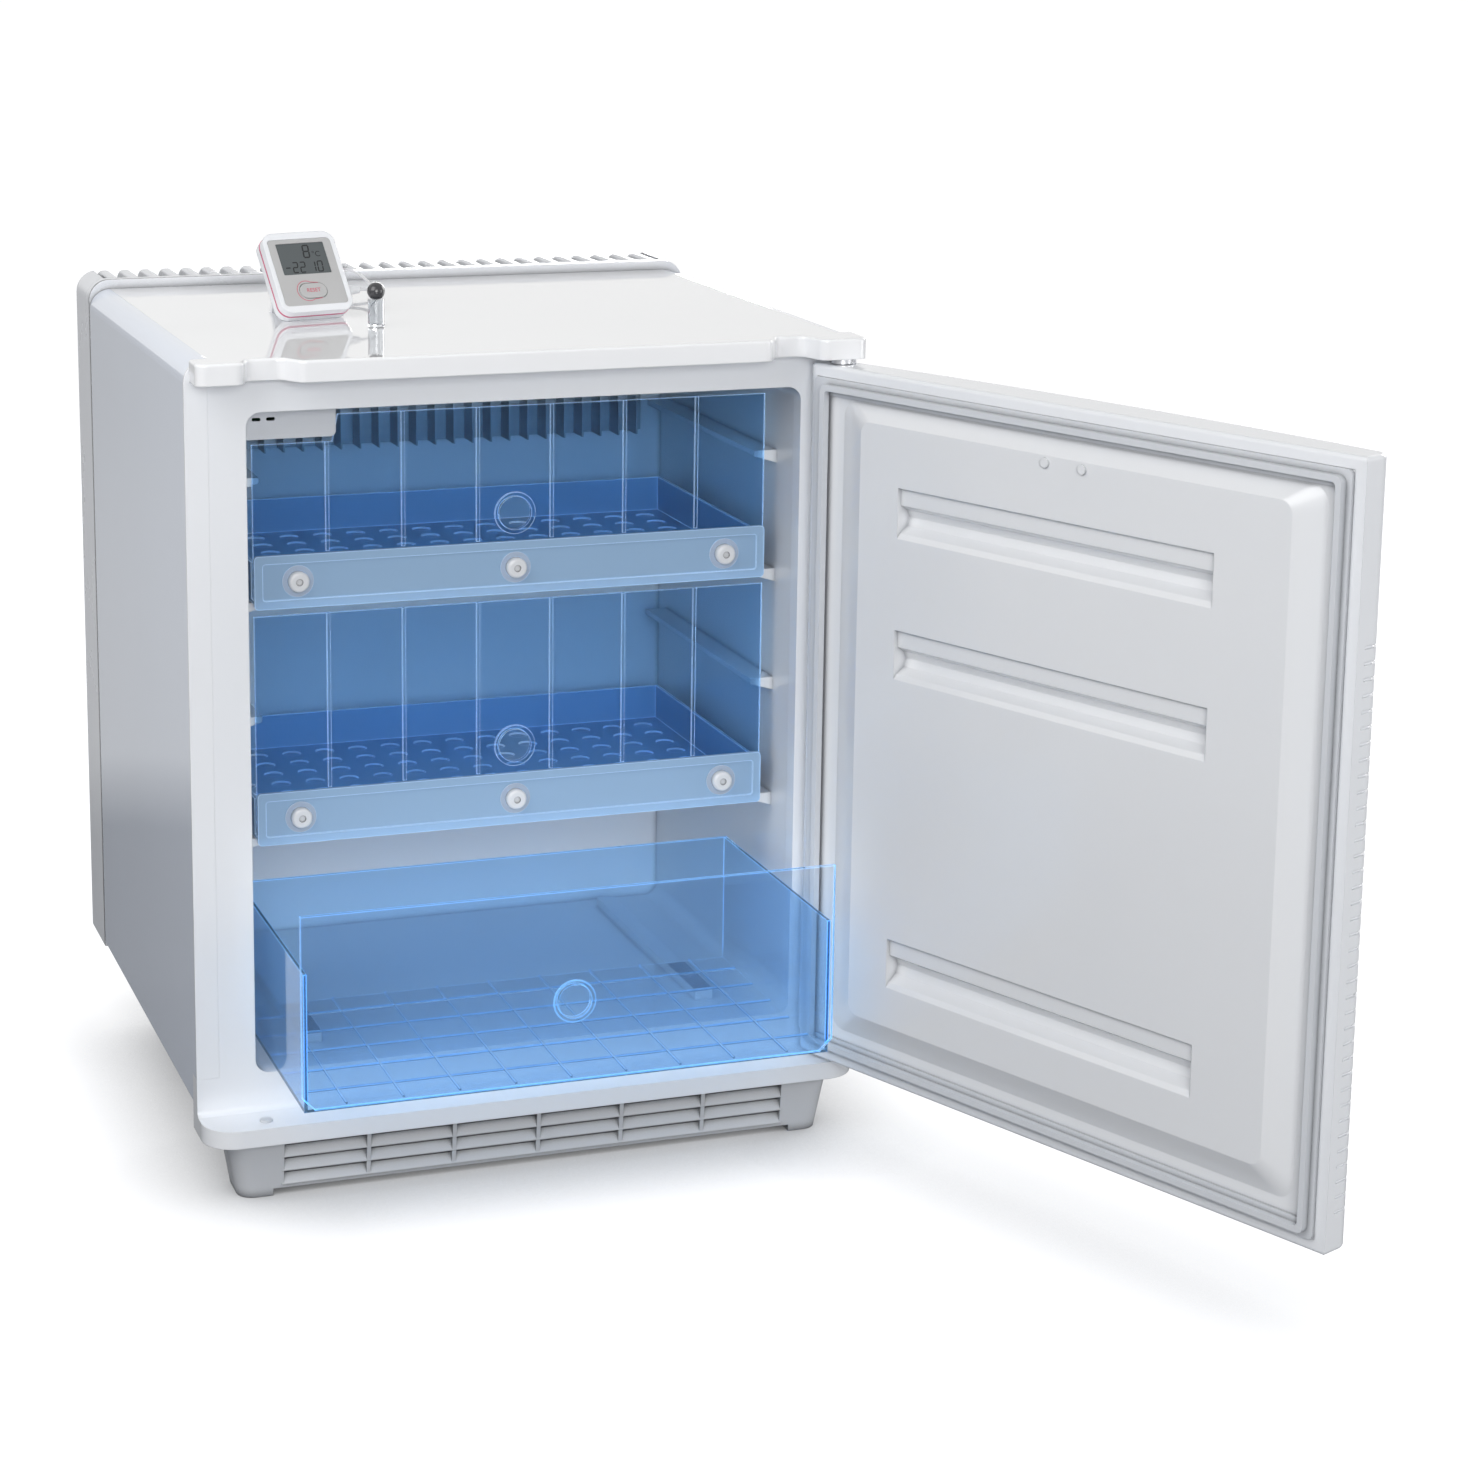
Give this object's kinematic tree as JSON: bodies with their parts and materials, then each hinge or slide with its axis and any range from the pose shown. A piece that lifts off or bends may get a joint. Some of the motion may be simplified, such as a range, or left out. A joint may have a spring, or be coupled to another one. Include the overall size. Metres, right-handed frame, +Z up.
{
  "type": "medicine refrigerator",
  "caption": "Table-height medicine refrigerator with an open right-hinged door, blue shelf trays, a clear bottom drawer and a small thermometer on top.",
  "frame": {"origin": "on the floor, under the middle of the cabinet's footprint, with the door left out of it", "axes": "+X to the right as seen from the front, +Y to the back, +Z up; the door is on the -Y side"},
  "size_m": [0.6501, 0.9156, 0.6527],
  "materials": {
    "white_sheet": "gloss",
    "white_plastic": "satin",
    "grey_plastic": "satin",
    "liner_plastic": "gloss",
    "gasket_vinyl": "matt",
    "foam": "matt",
    "zinc_steel": "brushed",
    "black_tube": "satin",
    "aluminium": "anodised",
    "tray_blue": "gloss",
    "clear_plastic": "clear",
    "clear_blue": "clear",
    "board_green": "satin",
    "seam_pink": "satin",
    "meter_grey": "satin",
    "display": "gloss",
    "black_rubber": "satin",
    "lead_white": "satin",
    "vial_clear": "clear"
  },
  "bodies": {
    "cabinet": {"side_panel_left": "white_sheet", "side_panel_right": "white_sheet", "top_cover": "white_plastic", "front_frame": "white_plastic", "inner_liner": "liner_plastic", "cabinet_foam": "foam", "rear_bulkhead": "zinc_steel", "cover_posts": "zinc_steel", "base_pan": "zinc_steel", "front_plinth": "white_plastic", "rear_feet": "grey_plastic", "rear_cover": "white_plastic", "rear_cover_screws": "zinc_steel", "evaporator": "aluminium", "control_box": "grey_plastic", "control_board": "board_green", "boiler_jacket": "zinc_steel", "heater_cartridge": "zinc_steel", "condenser": "black_tube", "absorber_coil": "black_tube", "absorber_vessel": "black_tube", "cord_gland": "black_rubber", "hinge_pin_lower": "zinc_steel", "hinge_pin_upper": "zinc_steel", "catch_stud": "grey_plastic", "meter_back": "white_plastic", "meter_ring": "seam_pink", "meter_front": "white_plastic", "meter_face": "meter_grey", "meter_display": "display", "meter_board": "board_green", "sensor_plug": "lead_white", "probe_vial": "vial_clear", "probe_cap": "black_rubber", "lead_sleeve": "lead_white", "sensor_lead": "lead_white"},
    "door": {"door_panel": "white_plastic", "door_foam": "foam", "door_liner": "liner_plastic", "door_gasket": "gasket_vinyl", "hinge_bush_lower": "grey_plastic", "hinge_bush_upper": "grey_plastic"},
    "upper_drawer": {"upper_tray": "tray_blue", "upper_tray_panel": "clear_plastic", "upper_tray_knobs": "lead_white"},
    "middle_drawer": {"middle_tray": "tray_blue", "middle_tray_panel": "clear_plastic", "middle_tray_knobs": "lead_white"},
    "bottom_drawer": {"drawer_tub": "clear_blue", "drawer_panel": "clear_blue"},
    "reset_key": {"reset_button": "meter_grey"},
    "meter_leg": {"stand_leg": "white_plastic"}
  },
  "joints": [
    {"name": "door_hinge", "type": "hinge", "parent": "cabinet", "child": "door", "pos_m": [0.223, -0.247, 0.3], "axis": [0, 0, 1], "range_deg": [-112.6, 23]},
    {"name": "upper_drawer_slide", "type": "slide", "parent": "cabinet", "child": "upper_drawer", "axis": [0, -1, 0], "range_m": [0, 0.18]},
    {"name": "middle_drawer_slide", "type": "slide", "parent": "cabinet", "child": "middle_drawer", "axis": [0, -1, 0], "range_m": [0, 0.18]},
    {"name": "bottom_drawer_slide", "type": "slide", "parent": "cabinet", "child": "bottom_drawer", "axis": [0, -1, 0], "range_m": [-0.1845, 0.038]},
    {"name": "reset_press", "type": "slide", "parent": "cabinet", "child": "reset_key", "axis": [-0.1954, 0.7955, -0.5736], "range_m": [0, 0.001], "stiffness_N_per_m": 400},
    {"name": "leg_hinge", "type": "hinge", "parent": "cabinet", "child": "meter_leg", "pos_m": [-0.12192, -0.03383, 0.62785], "axis": [0.9711, 0.2385, 0], "range_deg": [0, 25]}
  ],
  "couplings": [
    {"joint": "bottom_drawer_slide", "follows": "door_hinge", "m_per_rad": 0.09363}
  ]
}
